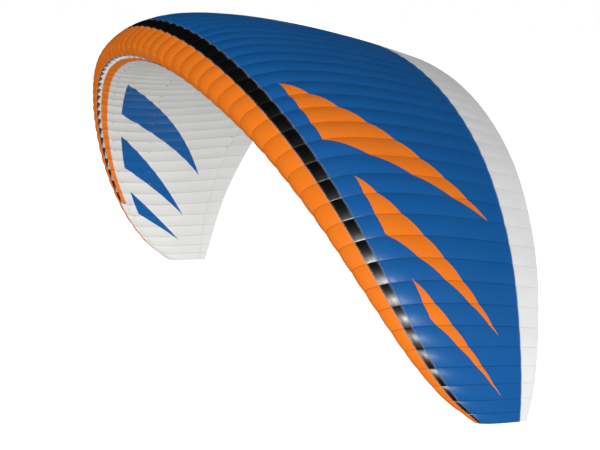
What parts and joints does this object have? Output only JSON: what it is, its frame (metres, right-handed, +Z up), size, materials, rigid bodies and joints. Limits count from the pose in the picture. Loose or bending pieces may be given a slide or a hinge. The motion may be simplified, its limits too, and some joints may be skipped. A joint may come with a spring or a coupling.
{
  "type": "paraglider wing",
  "caption": "Arched ram-air cloth wing: upper and lower skins held apart by ribs, open intakes along the nose, tapered swept tips.",
  "frame": {"origin": "the line attachment under the centre cell, 30 % of the chord behind the nose, on the lower skin", "axes": "X is the span, -Y is forward, +Z is up; millimetres in the source"},
  "size_m": [9.6698, 2.7136, 3.1239],
  "materials": {
    "cloth_orange": "satin coated ripstop",
    "cloth_black": "satin coated ripstop",
    "cloth_blue": "satin coated ripstop",
    "cloth_white": "satin coated ripstop",
    "cloth_grey": "satin coated ripstop",
    "cloth_rib": "matt stiff cloth"
  },
  "bodies": {
    "root": {"closed_nose_left": "cloth_white", "closed_nose_right": "cloth_white", "lip_1": "cloth_orange", "lip_2": "cloth_orange", "lip_3": "cloth_orange", "lip_4": "cloth_orange", "lip_5": "cloth_orange", "lip_6": "cloth_orange", "lip_7": "cloth_orange", "lower_main_1": "cloth_white", "lower_main_2": "cloth_white", "lower_main_3": "cloth_white", "lower_main_4": "cloth_white", "lower_main_5": "cloth_white", "lower_trailing_1": "cloth_grey", "lower_trailing_2": "cloth_grey", "lower_trailing_3": "cloth_grey", "nose_1": "cloth_orange", "nose_10": "cloth_orange", "nose_11": "cloth_orange", "nose_2": "cloth_orange", "nose_3": "cloth_orange", "nose_4": "cloth_orange", "nose_5": "cloth_orange", "nose_6": "cloth_orange", "nose_7": "cloth_orange", "nose_8": "cloth_orange", "nose_9": "cloth_orange", "rib_left_01": "cloth_rib", "rib_left_04": "cloth_rib", "rib_left_07": "cloth_rib", "rib_left_10": "cloth_rib", "rib_left_13": "cloth_rib", "rib_left_16": "cloth_rib", "rib_left_19": "cloth_rib", "rib_left_22": "cloth_rib", "rib_left_25": "cloth_rib", "rib_right_01": "cloth_rib", "rib_right_04": "cloth_rib", "rib_right_07": "cloth_rib", "rib_right_10": "cloth_rib", "rib_right_13": "cloth_rib", "rib_right_16": "cloth_rib", "rib_right_19": "cloth_rib", "rib_right_22": "cloth_rib", "rib_right_25": "cloth_rib", "stripe_1": "cloth_black", "stripe_2": "cloth_black", "stripe_3": "cloth_black", "tip_closure_left": "cloth_rib", "tip_closure_right": "cloth_rib", "upper_main_1": "cloth_blue", "upper_main_2": "cloth_blue", "upper_main_3": "cloth_blue", "upper_main_4": "cloth_blue", "upper_main_5": "cloth_blue", "upper_trailing_1": "cloth_white", "upper_trailing_2": "cloth_white", "upper_trailing_3": "cloth_white"}
  },
  "joints": []
}
